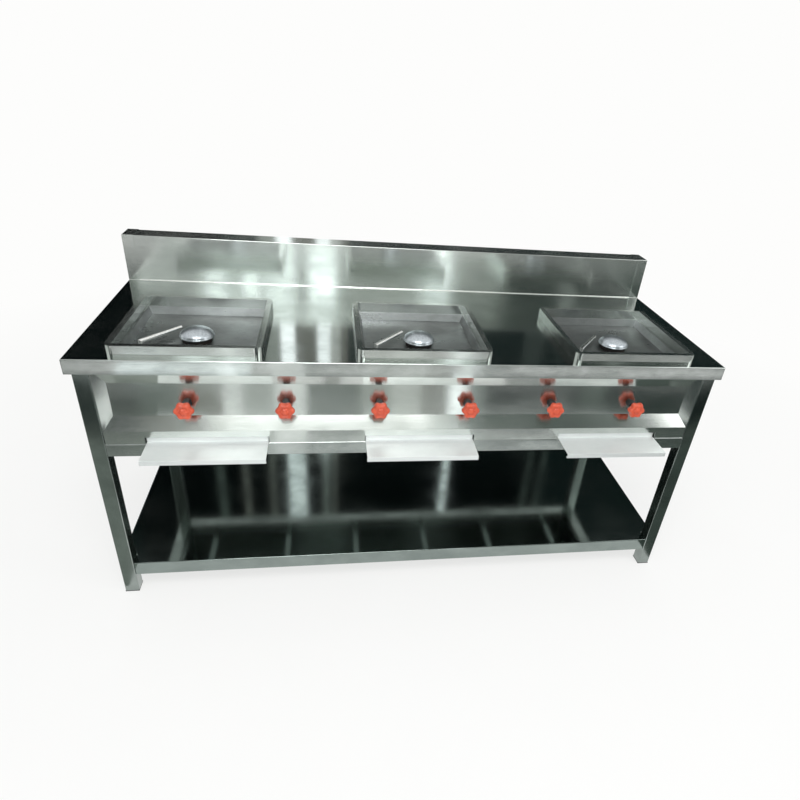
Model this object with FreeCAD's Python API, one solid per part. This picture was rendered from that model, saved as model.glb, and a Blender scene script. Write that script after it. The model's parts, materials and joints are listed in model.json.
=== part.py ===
import FreeCAD, Part
import math
import os

# A three-burner wok range in folded stainless steel on a square-tube frame.
# Millimetres. X runs along the front, Y goes back from the cook, Z is up from the floor.
# The origin is on the floor, in the middle of everything seen from above.

V = FreeCAD.Vector
ALONG, BACK, UP = V(1, 0, 0), V(0, 1, 0), V(0, 0, 1)

# ---- overall sizes ----
table_length = 1800.0
work_depth = 600.0          # front edge of the tabletop to the face of the splashback
splash_depth = 75.0
table_height = 800.0
splash_height = 145.0
tray_reach = 75.0           # how far a closed drip tray stands out in front of the tabletop

# ---- stock ----
top_sheet = 1.5
sheet = 1.2
leg_side = 40.0
lower_rail_side = 40.0
top_rail_side = 25.0
tube_wall = 1.5
strap_width = 30.0
strap_thickness = 3.0

# ---- frame ----
leg_end_inset = 15.0        # end of the tabletop to the outer face of a leg
leg_face_inset = 8.0        # front or back of the tabletop to the face of a leg
foot_flange = 3.0
foot_insert = 18.0
foot_clearance = 0.2
lower_rail_drop = 252.0     # top of the tabletop to the top of the lower rails
fascia_drop = 40.0

# ---- undershelf ----
shelf_height = 115.0
shelf_drop = 45.0
shelf_face_inset = 1.0      # leg face to shelf face
stiffener_pitch = 520.0
stiffener_width = 60.0
stiffener_height = 24.0
stiffener_lip = 12.0

# ---- splashback ----
end_cap_lap = 35.0

# ---- control panel ----
panel_gap = 37.0            # lower rails to the panel's lower edge, where the trays slide out
panel_ledge_height = 37.0   # height of the slanted band below the face
panel_face_height = 97.0
panel_recess = 25.0
panel_end_slope = 25.0
panel_face_inset = 1.0      # leg face to the panel's outer edge

# ---- side and back panels ----
skirt_inset = 6.0           # leg face to panel face
skirt_flange = 12.0

# ---- wells ----
well_pitch = 617.0
well_front = 18.0           # front edge of the tabletop to the curb
curb_length = 375.0
curb_depth = 370.0
curb_height = 30.0
curb_width = 16.0
curb_radius = 20.0
curb_flange_gap = 2.5       # bowl flange to the curb's outer wall
hole_inset = 18.0           # curb's outer face to the edge of the hole in the tabletop
bowl_clearance = 0.8
bowl_depth = 20.0           # tabletop to the bowl's floor
bowl_slope = 9.0

# ---- burners ----
burner_forward = 25.0       # the burner stands this far in front of the middle of its well
burner_gap = 3.0            # burner to the edge of the hole in the bowl's floor
ring_radius = 38.0
ring_bore = 27.0
ring_above_floor = 18.0
port_count = 16
port_width = 3.2
port_depth = 4.0
plenum_radius = 24.0
burner_wall = 5.0
burner_sump = 6.0           # mixing tube's underside to the burner's underside
burner_boss_height = 6.0
burner_shoulder = 7.0       # height of the flare under the ring
mixer_drop = 56.0           # top of the ring to the axis of the mixing tube
mixer_reach = 74.0          # burner's middle to the mouth of its mixing tube
mixer_neck_radius = 14.0
mixer_mouth_radius = 22.0
mixer_rim = 2.5
mixer_bore_radius = 7.0
mixer_face = 4.0
mixer_bell = 18.0           # length of the bell behind the mouth
air_slot_inner = 9.0
air_slot_outer = 18.0
air_slot_angle = 56.0
air_slot_count = 3
shutter_thickness = 1.5
shutter_start = 15.0        # degrees that the shutter stands turned from fully open
strap_half_span = 62.0      # burner's middle to the drop of its strap
strap_lap = 6.0             # how far a strap reaches under each rail

# ---- burner caps ----
cap_radius = 46.0
cap_rim = 4.0
cap_dome = 15.0
cap_lug_count = 3
cap_lug_length = 8.0
cap_lug_width = 4.0
cap_lug_depth = 6.0
cap_crown_radius = 22.0     # the flat crown
cap_clearance = 0.5

# ---- injectors ----
injector_flats = 17.0
injector_length = 10.0
injector_neck_radius = 6.0
injector_tip = 6.0          # how far the jet reaches into the mixing tube
running_clearance = 0.05
seat_clearance = 0.3

# ---- pilot burners ----
pilot_side = 130.0          # burner's middle to the pilot's nipple, sideways
pilot_front = 60.0          # burner's middle to the pilot's nipple, forwards
pilot_tip_side = 48.0
pilot_tip_back = 38.0
pilot_radius = 5.5
pilot_height = 20.0         # bowl floor to the middle of the tube
pilot_nut_flats = 20.0
pilot_nut_height = 6.0
pilot_tail = 20.0           # how far the nipple reaches below the bowl's floor
pilot_hole_gap = 0.5

# ---- gas rail, taps and pipes ----
tap_pitch = 257.0
tap_shift = 8.0
tap_count = 6
tap_above_ledge = 33.0      # panel's slanted lower band to the axis of the taps
tap_flats = 24.0
tap_front_gap = 3.0         # back of the panel to the tap
tap_length = 46.0
tap_bore_depth = 18.0
tap_stem_flats = 13.0
tap_outlet_top = 27.0       # tap's axis to the top of its outlet
tap_nut_flats = 17.0
tap_nut_height = 8.0
manifold_drop = 43.0        # axis of the taps to the axis of the gas rail
manifold_back = 60.0        # leg face to the manifold's axis
manifold_side = 27.0
manifold_wall = 2.6
manifold_end_gap = 45.0     # each closed end to the legs
spigot_radius = 13.5
passage_radius = 8.0
inlet_radius = 9.3
inlet_depth = 18.0
inlet_stand_out = 7.0       # side panel's face to the inlet's mouth
inlet_hole_gap = 1.5
main_pipe_radius = 5.0
pilot_pipe_radius = 4.0
pipe_rise = 18.0            # tap outlet to the pipe's first corner
pilot_pipe_rise = 24.0
clip_width = 20.0
clip_wall = 3.5
clip_height = 38.0          # how far a bracket reaches up the panel's face

# ---- knobs ----
spindle_radius = 4.0
knob_radius = 26.0
knob_thickness = 22.0
knob_front = 10.0           # tabletop's front edge to the front of the knobs
knob_corner_radius = 9.0
knob_cover = 6.0            # plastic in front of the spindle
bezel_flats = 24.0
bezel_length = 10.0
bezel_gap = 0.6
panel_hole_gap = 4.0

# ---- drip trays ----
tray_width = 316.0
tray_pitch = 585.0
tray_length = 450.0
tray_wall_height = 18.0
tray_lip = 13.0
tray_hem = 8.0
tray_front_wall_set = 8.0   # leg face to the tray's front wall
runner_width = 20.0
runner_guide = 15.0
runner_side_gap = 1.0
slide_clearance = 0.3

# ---- places worked out from the sizes ----
half_length = table_length / 2
total_depth = tray_reach + work_depth + splash_depth
front_y = tray_reach - total_depth / 2
splash_y = front_y + work_depth
back_y = splash_y + splash_depth
top_under = table_height - top_sheet
rail_under = top_under - top_rail_side
lower_rail_top = table_height - lower_rail_drop
panel_bottom = lower_rail_top + panel_gap
panel_face_bottom = panel_bottom + panel_ledge_height
panel_face_top = panel_face_bottom + panel_face_height
tap_height = panel_face_bottom + tap_above_ledge
manifold_height = tap_height - manifold_drop
frame_end = half_length - leg_end_inset
frame_inner_end = frame_end - leg_side
frame_front = front_y + leg_face_inset
frame_back = back_y - leg_face_inset
leg_behind = frame_front + leg_side
leg_before = frame_back - leg_side
well_y = front_y + well_front + curb_depth / 2
burner_y = well_y - burner_forward
bowl_floor = table_height - bowl_depth
ring_top = bowl_floor + ring_above_floor
mixer_height = ring_top - mixer_drop
burner_base = mixer_height - mixer_neck_radius - burner_sump
mixer_mouth_y = burner_y - mixer_reach
panel_edge_y = frame_front + panel_face_inset
panel_y = panel_edge_y + panel_recess
gas_y = frame_front + manifold_back
tap_front_y = panel_y + sheet + tap_front_gap
outlet_z = tap_height + tap_outlet_top
knob_face_y = front_y - knob_front
knob_back_y = knob_face_y + knob_thickness
tray_front_y = front_y - tray_reach
tray_floor = lower_rail_top + slide_clearance
cross_bar_x = well_pitch / 2
injector_rear_y = mixer_mouth_y - shutter_thickness - seat_clearance - injector_length

WELLS = {"left": -well_pitch, "middle": 0.0, "right": well_pitch}
TAP_X = [tap_shift + (i - (tap_count - 1) / 2) * tap_pitch for i in range(tap_count)]
PILOT_TAPS = dict(zip(WELLS, TAP_X[0::2]))
MAIN_TAPS = dict(zip(WELLS, TAP_X[1::2]))
SIDES = {"left": -1, "right": 1}


# ---- general shapes ----
def block(x, y, z):
    """A box from three (low, high) pairs."""
    return Part.makeBox(x[1] - x[0], y[1] - y[0], z[1] - z[0], V(x[0], y[0], z[0]))


def flat(points):
    """A face from a closed run of points."""
    return Part.Face(Part.makePolygon(points + [points[0]]))


def mirrored_pair(side, low, high):
    """The (low, high) pair at the left or right end, from distances measured outwards."""
    return (low, high) if side > 0 else (-high, -low)


def square_tube(x, y, z, wall, axis):
    """A square tube, open at both ends along the given axis (0, 1 or 2)."""
    spans = [x, y, z]
    inner = [s if i == axis else (s[0] + wall, s[1] - wall) for i, s in enumerate(spans)]
    return block(*spans).cut(block(*inner))


def centred_block(cx, cy, half_x, half_y, z):
    return block((cx - half_x, cx + half_x), (cy - half_y, cy + half_y), z)


def rounded_block(cx, cy, half_x, half_y, radius, z):
    """An upright block with round corners between heights z[0] and z[1]."""
    solid = centred_block(cx, cy, half_x, half_y, z)
    upright = [e for e in solid.Edges if abs(e.Vertexes[0].Z - e.Vertexes[-1].Z) > (z[1] - z[0]) / 2]
    return solid.makeFillet(radius, upright)


def rod(start, axis, length, radius):
    return Part.makeCylinder(radius, length, start, axis)


def aim(shape, axis, centre):
    """Turn a shape made about Z until it points along the axis, then place it."""
    shape.Placement = FreeCAD.Placement(centre, FreeCAD.Rotation(UP, axis))
    return shape


def turned(outline, axis, centre):
    """A round piece from (radius, height) points."""
    face = flat([V(r, 0, h) for r, h in outline])
    return aim(face.revolve(V(), UP, 360), axis, centre)


def hexagon(flats, length, axis, centre):
    """A hexagonal bar of the given width across its flats."""
    corner = flats / 2 / math.cos(math.pi / 6)
    points = [V(corner * math.cos(i * math.pi / 3), corner * math.sin(i * math.pi / 3), 0) for i in range(6)]
    return aim(flat(points).extrude(UP * length), axis, centre)


def pipe(points, radius):
    """A round tube's outside along straight runs, mitred where they meet."""
    path = Part.makePolygon(points)
    ring = Part.Wire([Part.Circle(points[0], points[1] - points[0], radius).toShape()])
    return path.makePipeShell([ring], True, False, 1)


def group(shapes):
    return Part.makeCompound(shapes)


# ---- frame ----
def leg(side, y):
    """One leg: an upright square tube from its foot to the underside of the tabletop."""
    x = mirrored_pair(side, frame_inner_end, frame_end)
    return square_tube(x, y, (foot_flange, top_under), tube_wall, 2)


def foot_plugs():
    """A moulded plug closes the bottom of each leg and stands on the floor."""
    plugs = []
    gap = tube_wall + foot_clearance
    for side in SIDES.values():
        for y in ((frame_front, leg_behind), (leg_before, frame_back)):
            x = mirrored_pair(side, frame_inner_end, frame_end)
            flange = block(x, y, (0, foot_flange))
            insert = block(
                (x[0] + gap, x[1] - gap), (y[0] + gap, y[1] - gap), (0, foot_flange + foot_insert)
            )
            plugs.append(flange.fuse(insert))
    return group(plugs)


def top_rails():
    """Rails under the tabletop: front, back, both ends and two cross bars between the wells."""
    z = (rail_under, top_under)
    front = (frame_front, frame_front + top_rail_side)
    rear = (frame_back - top_rail_side, frame_back)
    across = (-frame_inner_end, frame_inner_end)
    rails = [square_tube(across, y, z, tube_wall, 0) for y in (front, rear)]
    for side in SIDES.values():
        x = mirrored_pair(side, frame_end - top_rail_side, frame_end)
        rails.append(square_tube(x, (leg_behind, leg_before), z, tube_wall, 1))
        middle = side * cross_bar_x
        x = (middle - top_rail_side / 2, middle + top_rail_side / 2)
        rails.append(square_tube(x, (front[1], rear[0]), z, tube_wall, 1))
    return group(rails)


def lower_rail(x, y, axis):
    z = (lower_rail_top - lower_rail_side, lower_rail_top)
    return square_tube(x, y, z, tube_wall, axis)


def lower_rails():
    """Rails between the legs on all four sides; the drip trays rest on the front one."""
    rails = []
    for y in (
        (frame_front, frame_front + lower_rail_side), (frame_back - lower_rail_side, frame_back)
    ):
        rails.append(lower_rail((-frame_inner_end, frame_inner_end), y, 0))
    for side in SIDES.values():
        x = mirrored_pair(side, frame_end - lower_rail_side, frame_end)
        rails.append(lower_rail(x, (leg_behind, leg_before), 1))
    return group(rails)


# ---- undershelf ----
def shelf_block(shrink, z):
    """The shelf's outline, notched round the four legs, as a solid between two heights."""
    long_part = block(
        (-frame_inner_end + shrink, frame_inner_end - shrink),
        (frame_front + shelf_face_inset + shrink, frame_back - shelf_face_inset - shrink),
        z,
    )
    wide_part = block(
        (-frame_end + shrink, frame_end - shrink), (leg_behind + shrink, leg_before - shrink), z
    )
    return long_part.fuse(wide_part).removeSplitter()


def undershelf():
    """A folded sheet shelf with its edges turned down."""
    bottom = shelf_height - shelf_drop
    return shelf_block(0, (bottom, shelf_height)).cut(shelf_block(sheet, (bottom, shelf_height - sheet)))


def shelf_stiffeners():
    """Top-hat channels under the shelf, from front to back."""
    top = shelf_height - sheet
    inset = shelf_face_inset + sheet
    y = (frame_front + inset, frame_back - inset)
    half = stiffener_width / 2
    crown = half - stiffener_lip
    low = top - stiffener_height
    channels = []
    for i in (-1, 0, 1):
        middle = i * stiffener_pitch
        outline = [
            (-half, top), (-crown, top), (-crown, low + sheet), (crown, low + sheet),
            (crown, top), (half, top), (half, top - sheet), (crown + sheet, top - sheet),
            (crown + sheet, low), (-crown - sheet, low), (-crown - sheet, top - sheet),
            (-half, top - sheet),
        ]
        face = flat([V(middle + x, y[0], z) for x, z in outline])
        channels.append(face.extrude(BACK * (y[1] - y[0])))
    return group(channels)


# ---- tabletop, splashback and panels ----
def hole_half(length):
    return length / 2 - hole_inset


def tabletop():
    """One sheet with its four edges turned down and a hole for each well."""
    x = (-half_length, half_length)
    y = (front_y, back_y)
    low = table_height - fascia_drop
    inner = block(
        (x[0] + top_sheet, x[1] - top_sheet), (y[0] + top_sheet, y[1] - top_sheet), (low, top_under)
    )
    top = block(x, y, (low, table_height)).cut(inner)
    for cx in WELLS.values():
        half_x = hole_half(curb_length)
        half_y = hole_half(curb_depth)
        top = top.cut(centred_block(cx, well_y, half_x, half_y, (low, table_height)))
    return top


def splash_profile(shrink, x):
    """The splashback's box, smaller by one sheet for each step of shrink."""
    return block(
        x,
        (splash_y + shrink, back_y - shrink),
        (table_height, table_height + splash_height - shrink),
    )


def splashback():
    """A folded channel, open below, standing on the back of the tabletop."""
    x = (-half_length + sheet, half_length - sheet)
    return splash_profile(sheet, x).cut(splash_profile(2 * sheet, x))


def splashback_ends():
    """A cap closes each end and laps a little way over the front, top and back."""
    caps = []
    for side in SIDES.values():
        x = mirrored_pair(side, half_length - end_cap_lap, half_length)
        inside = mirrored_pair(side, half_length - end_cap_lap, half_length - sheet)
        caps.append(splash_profile(0, x).cut(splash_profile(sheet, inside)))
    return group(caps)


def panel_frustum(edge_inset, face_y):
    """The space between the panel's outer edge and its recessed face."""
    edge = frame_inner_end - edge_inset
    face = frame_inner_end - panel_end_slope
    return Part.makeWedge(
        -edge, panel_edge_y, panel_bottom + edge_inset, panel_face_bottom, -face,
        edge, face_y, rail_under - edge_inset, panel_face_top, face,
    )


def panel_zone(corners):
    """The full depth of the panel inside an outline of (x, z) corners, seen from the front."""
    outline = flat([V(x, panel_edge_y, z) for x, z in corners])
    return outline.extrude(BACK * (panel_recess + sheet))


def control_panel():
    """A pan-shaped panel: a recessed face plate and four slanted bands, mitred at the corners."""
    pan = panel_frustum(0, panel_y + sheet).cut(panel_frustum(sheet * math.sqrt(2), panel_y))
    for x in TAP_X:
        hole = rod(V(x, panel_y - sheet, tap_height), BACK, 3 * sheet, spindle_radius + panel_hole_gap)
        pan = pan.cut(hole)
    edge = frame_inner_end
    face = frame_inner_end - panel_end_slope
    rim = [(-edge, panel_bottom), (edge, panel_bottom), (edge, rail_under), (-edge, rail_under)]
    plate = [
        (-face, panel_face_bottom), (face, panel_face_bottom),
        (face, panel_face_top), (-face, panel_face_top),
    ]
    pieces = [pan.common(panel_zone(plate))]
    for i in range(4):
        j = (i + 1) % 4
        pieces.append(pan.common(panel_zone([rim[i], rim[j], plate[j], plate[i]])))
    return group(pieces)


def end_panel(side):
    """A flanged sheet between two legs, which closes one end of the burner box."""
    outer = frame_end - skirt_inset
    x = mirrored_pair(side, outer - skirt_flange, outer)
    inner_x = mirrored_pair(side, outer - skirt_flange, outer - sheet)
    y = (leg_behind, leg_before)
    z = (lower_rail_top, rail_under)
    inner = block(inner_x, (y[0] + sheet, y[1] - sheet), (z[0] + sheet, z[1] - sheet))
    return block(x, y, z).cut(inner)


def right_end_panel():
    """The inlet end of the gas rail comes out through a hole in this panel."""
    start = V(frame_inner_end, gas_y, manifold_height)
    return end_panel(1).cut(rod(start, ALONG, leg_side, spigot_radius + inlet_hole_gap))


def back_panel():
    outer = frame_back - skirt_inset
    x = (-frame_inner_end, frame_inner_end)
    y = (outer - skirt_flange, outer)
    z = (lower_rail_top, rail_under)
    inner = block(
        (x[0] + sheet, x[1] - sheet), (y[0], outer - sheet), (z[0] + sheet, z[1] - sheet)
    )
    return block(x, y, z).cut(inner)


# ---- wells ----
def well_curb(cx):
    """The raised ring round a well: a folded channel, open below, that carries the wok."""
    half_x = curb_length / 2
    half_y = curb_depth / 2
    top = table_height + curb_height
    seat = table_height + sheet
    inner_x = half_x - curb_width
    inner_y = half_y - curb_width
    outside = rounded_block(cx, well_y, half_x, half_y, curb_radius, (table_height, top))
    hollow = rounded_block(
        cx, well_y, half_x - top_sheet, half_y - top_sheet, curb_radius - top_sheet,
        (table_height, top - top_sheet),
    )
    core = centred_block(cx, well_y, inner_x + top_sheet, inner_y + top_sheet, (seat, top - top_sheet))
    opening = centred_block(cx, well_y, inner_x, inner_y, (table_height, top))
    return outside.cut(hollow).fuse(core).cut(opening).removeSplitter()


def bowl_body(cx, shrink, bottom):
    """The bowl's sloping walls as a solid, one sheet smaller when shrink is one sheet."""
    half_x = hole_half(curb_length) - bowl_clearance - shrink
    half_y = hole_half(curb_depth) - bowl_clearance - shrink
    low_x = half_x - bowl_slope
    low_y = half_y - bowl_slope
    height = table_height + sheet - bottom
    body = Part.makeWedge(-low_x, 0, -low_y, -half_y, -half_x, low_x, height, low_y, half_y, half_x)
    body.rotate(V(), ALONG, 90)
    body.translate(V(cx, well_y, bottom))
    return body


def well_bowl(cx):
    """A folded pan, hung in the tabletop by its flange, with holes for burner and pilot."""
    flange = rounded_block(
        cx, well_y,
        curb_length / 2 - top_sheet - curb_flange_gap, curb_depth / 2 - top_sheet - curb_flange_gap,
        curb_radius - top_sheet, (table_height, table_height + sheet),
    )
    bowl = flange.fuse(bowl_body(cx, 0, bowl_floor - sheet)).cut(bowl_body(cx, sheet, bowl_floor))
    below = bowl_floor - 2 * sheet
    bowl = bowl.cut(rod(V(cx, burner_y, below), UP, 3 * sheet, ring_radius + burner_gap))
    nipple = V(cx - pilot_side, burner_y - pilot_front, below)
    return bowl.cut(rod(nipple, UP, 3 * sheet, pilot_radius + pilot_hole_gap)).removeSplitter()


# ---- burners ----
def air_slots(y, depth, turn):
    """Curved slots round the mixing tube's axis, as cutters made about Z."""
    slots = []
    for i in range(air_slot_count):
        wedge = Part.makeCylinder(air_slot_outer, depth, V(), UP, air_slot_angle)
        wedge = wedge.cut(Part.makeCylinder(air_slot_inner, depth))
        wedge.rotate(V(), UP, turn + i * 360 / air_slot_count)
        slots.append(wedge)
    return aim(group(slots), BACK, V(0, y, 0))


def mixing_tube():
    """The tube that draws air in round the gas jet, made about its own mouth, with its bores."""
    throat = mixer_face + mixer_bell
    outer = [
        (0, 0), (mixer_mouth_radius, 0), (mixer_mouth_radius, mixer_face),
        (mixer_neck_radius, throat), (mixer_neck_radius, mixer_reach), (0, mixer_reach),
    ]
    bell_radius = mixer_mouth_radius - mixer_rim
    venturi = [
        (0, mixer_face), (bell_radius, mixer_face), (mixer_bore_radius, throat),
        (mixer_bore_radius, mixer_reach), (0, mixer_reach),
    ]
    neck = rod(V(), BACK, mixer_face, injector_neck_radius + running_clearance)
    bores = [turned(venturi, BACK, V()), air_slots(0, mixer_face, 0), neck]
    return turned(outer, BACK, V()), bores


def burner_head(cx):
    """Cast burner: boss, plenum, ring of flame ports and mixing tube in one piece."""
    floor = burner_base + burner_boss_height
    shoulder = mixer_height + mixer_neck_radius + burner_wall
    seat = shoulder + burner_shoulder
    inner = plenum_radius - burner_wall
    body = [
        (0, burner_base), (plenum_radius, burner_base), (plenum_radius, shoulder),
        (ring_radius, seat), (ring_radius, ring_top), (0, ring_top),
    ]
    hollow = [
        (0, floor), (inner, floor), (inner, seat), (ring_bore, seat), (ring_bore, ring_top),
        (0, ring_top),
    ]
    tube, bores = mixing_tube()
    for shape in [tube] + bores:
        shape.translate(V(cx, mixer_mouth_y, mixer_height))
    middle = V(cx, burner_y, 0)
    head = turned(body, UP, middle).fuse(tube).cut([turned(hollow, UP, middle)] + bores)
    port = block((0, ring_radius + burner_gap), (-port_width / 2, port_width / 2), (-port_depth, 0))
    ports = []
    for i in range(port_count):
        cutter = port.copy()
        cutter.rotate(V(), UP, i * 360 / port_count)
        cutter.translate(V(cx, burner_y, ring_top))
        ports.append(cutter)
    return head.cut(ports).removeSplitter()


def burner_cap(cx):
    """A cap that lies loose on the ring, centred by lugs, and closes the tops of the ports."""
    crown = cap_rim + cap_dome
    outline = [(0, 0), (cap_radius, 0), (cap_radius, cap_rim), (cap_crown_radius, crown), (0, crown)]
    middle = V(cx, burner_y, ring_top)
    lugs = []
    for i in range(cap_lug_count):
        reach = (ring_bore - cap_clearance - cap_lug_length, ring_bore - cap_clearance)
        lug = block(reach, (-cap_lug_width / 2, cap_lug_width / 2), (-cap_lug_depth, 0))
        lug.rotate(V(), UP, (i + 0.5) * 360 / cap_lug_count)
        lug.translate(middle)
        lugs.append(lug)
    return turned(outline, UP, middle).fuse(lugs)


def air_shutter(cx):
    """A slotted disc that turns on the injector's neck over the slots of the mixing tube."""
    y = mixer_mouth_y - shutter_thickness
    disc = rod(V(), BACK, shutter_thickness, mixer_mouth_radius)
    disc = disc.cut(rod(V(), BACK, shutter_thickness, injector_neck_radius + running_clearance))
    disc = disc.cut(air_slots(0, shutter_thickness, shutter_start))
    disc.translate(V(cx, y, mixer_height))
    return disc


def injectors():
    """A brass jet in the mouth of each mixing tube."""
    jets = []
    for cx in WELLS.values():
        rear = V(cx, injector_rear_y, mixer_height)
        body = hexagon(injector_flats, injector_length, BACK, rear)
        neck_length = seat_clearance + shutter_thickness + mixer_face + injector_tip
        neck = rod(rear + BACK * injector_length, BACK, neck_length, injector_neck_radius)
        jets.append(body.fuse(neck))
    return group(jets)


def burner_straps():
    """A cranked flat bar under each burner, hung from the underside of the rails."""
    end_x = frame_end - top_rail_side + strap_lap
    near_x = cross_bar_x - top_rail_side / 2 + strap_lap
    far_x = cross_bar_x + top_rail_side / 2 - strap_lap
    reach = {"left": (-end_x, -far_x), "middle": (-near_x, near_x), "right": (far_x, end_x)}
    t = strap_thickness
    straps = []
    for name, cx in WELLS.items():
        low, high = reach[name]
        left = cx - strap_half_span
        right = cx + strap_half_span
        outline = [
            (low, rail_under), (left, rail_under), (left, burner_base), (right, burner_base),
            (right, rail_under), (high, rail_under), (high, rail_under - t),
            (right + t, rail_under - t), (right + t, burner_base - t), (left - t, burner_base - t),
            (left - t, rail_under - t), (low, rail_under - t),
        ]
        face = flat([V(x, burner_y - strap_width / 2, z) for x, z in outline])
        straps.append(face.extrude(BACK * strap_width))
    return group(straps)


def pilot_burner(cx):
    """A small steel tube from a nipple in the bowl's floor to the side of the burner."""
    z = bowl_floor + pilot_height
    foot = V(cx - pilot_side, burner_y - pilot_front, bowl_floor - pilot_tail)
    corner = V(foot.x, foot.y, z)
    tip = V(cx - pilot_tip_side, burner_y + pilot_tip_back, z)
    tube = pipe([foot, corner, tip], pilot_radius)
    nut = hexagon(pilot_nut_flats, pilot_nut_height, UP, V(foot.x, foot.y, bowl_floor))
    return tube.fuse(nut).removeSplitter()


# ---- gas rail, taps and pipes ----
def gas_manifold():
    """The gas rail: a square tube, closed at both ends, with a threaded spigot for the supply."""
    left = -frame_inner_end + manifold_end_gap
    right = frame_inner_end - manifold_end_gap
    half = manifold_side / 2
    bore = half - manifold_wall
    rail = block(
        (left, right), (gas_y - half, gas_y + half), (manifold_height - half, manifold_height + half)
    )
    hollow = block(
        (left + manifold_wall, right - manifold_wall),
        (gas_y - bore, gas_y + bore), (manifold_height - bore, manifold_height + bore),
    )
    mouth = V(frame_end - skirt_inset + inlet_stand_out, gas_y, manifold_height)
    spigot = rod(mouth, -ALONG, mouth.x - right, spigot_radius)
    thread = rod(mouth, -ALONG, inlet_depth, inlet_radius)
    passage = rod(mouth, -ALONG, mouth.x - right + manifold_wall, passage_radius)
    return rail.fuse(spigot).cut([hollow, thread, passage])


def manifold_clips():
    """Angle brackets on the back of the control panel carry the gas rail."""
    front = panel_y + sheet
    low = manifold_height - manifold_side / 2
    clips = []
    for i in (-2, 0, 2):
        middle = tap_shift + i * tap_pitch
        x = (middle - clip_width / 2, middle + clip_width / 2)
        plate = block(x, (front, front + clip_wall), (low - clip_wall, panel_face_bottom + clip_height))
        arm = block(x, (front, gas_y + manifold_side / 2), (low - clip_wall, low))
        clips.append(plate.fuse(arm).removeSplitter())
    return group(clips)


def tap(x):
    """A brass gas tap: hexagonal body, inlet down to the gas rail, outlet up to its pipe."""
    axis = V(x, tap_front_y, tap_height)
    body = hexagon(tap_flats, tap_length, BACK, axis)
    rail_top = manifold_height + manifold_side / 2
    stem = hexagon(tap_stem_flats, outlet_z - rail_top, UP, V(x, gas_y, rail_top))
    nuts = [
        hexagon(tap_nut_flats, tap_nut_height, UP, V(x, gas_y, z))
        for z in (rail_top, outlet_z - tap_nut_height)
    ]
    bore = rod(axis, BACK, tap_bore_depth, spindle_radius + running_clearance)
    return body.fuse([stem] + nuts).cut(bore).removeSplitter()


def gas_pipes():
    """One pipe from each tap: three to the injectors and three to the pilot burners."""
    pipes = []
    for name, cx in WELLS.items():
        start = V(MAIN_TAPS[name], gas_y, outlet_z)
        over = V(cx, gas_y, mixer_height)
        end = V(cx, injector_rear_y, mixer_height)
        pipes.append(pipe([start, start + UP * pipe_rise, over, end], main_pipe_radius))
        start = V(PILOT_TAPS[name], gas_y, outlet_z)
        end = V(cx - pilot_side, burner_y - pilot_front, bowl_floor - pilot_tail)
        under = end - UP * pilot_pipe_rise
        route = [start, start + UP * pilot_pipe_rise, under, end]
        pipes.append(pipe(route, pilot_pipe_radius))
    return group(pipes)


# ---- knobs ----
def tap_spindle(x):
    back = tap_front_y + tap_bore_depth - seat_clearance
    front = knob_face_y + knob_cover
    return rod(V(x, front, tap_height), BACK, back - front, spindle_radius)


def knob(x):
    """A six-sided hand knob with round corners, bored from behind for the spindle."""
    flats = (knob_radius - knob_corner_radius) * math.sqrt(3) + 2 * knob_corner_radius
    shape = hexagon(flats, knob_thickness, BACK, V())
    ridges = [e for e in shape.Edges if abs(e.Vertexes[0].Y - e.Vertexes[-1].Y) > knob_thickness / 2]
    shape = shape.makeFillet(knob_corner_radius, ridges)
    socket = V(0, knob_cover - running_clearance, 0)
    shape = shape.cut(rod(socket, BACK, knob_thickness, spindle_radius + running_clearance))
    shape.translate(V(x, knob_face_y, tap_height))
    return shape


def bezel_nuts():
    """Bezel nuts round the spindles, on the face of the control panel."""
    nuts = []
    bore = spindle_radius + bezel_gap
    for x in TAP_X:
        seat = V(x, panel_y, tap_height)
        ring = hexagon(bezel_flats, bezel_length, -BACK, seat)
        nuts.append(ring.cut(rod(seat, -BACK, bezel_length, bore)))
    return group(nuts)


# ---- drip trays ----
def drip_tray(cx):
    """A shallow pan with a flat pull in front, turned down at its edge."""
    half = tray_width / 2
    x = (cx - half, cx + half)
    back = tray_front_y + tray_length
    wall_y = frame_front + tray_front_wall_set
    floor = tray_floor
    plate = block(x, (tray_front_y, back), (floor, floor + sheet))
    lip = block(x, (tray_front_y, tray_front_y + sheet), (floor - tray_lip, floor + sheet))
    hem = block(x, (tray_front_y, tray_front_y + tray_hem), (floor - tray_lip, floor - tray_lip + sheet))
    pan = block(x, (wall_y, back), (floor, floor + tray_wall_height))
    inside = block(
        (x[0] + sheet, x[1] - sheet), (wall_y + sheet, back - sheet),
        (floor + sheet, floor + tray_wall_height),
    )
    return pan.cut(inside).fuse([plate, lip, hem]).removeSplitter()


def tray_runners():
    """Angle runners between the front and back lower rails, one on each side of a tray."""
    y = (frame_front + lower_rail_side, frame_back - lower_rail_side)
    runners = []
    for i in (-1, 0, 1):
        for side in SIDES.values():
            cx = i * tray_pitch
            guide = tray_width / 2 + runner_side_gap
            foot = mirrored_pair(side, guide - runner_width, guide + sheet)
            wall = mirrored_pair(side, guide, guide + sheet)
            foot_x = (cx + foot[0], cx + foot[1])
            wall_x = (cx + wall[0], cx + wall[1])
            angle = block(foot_x, y, (lower_rail_top - sheet, lower_rail_top))
            runners.append(
                angle.fuse(block(wall_x, y, (lower_rail_top, lower_rail_top + runner_guide)))
            )
    return group(runners)


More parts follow.
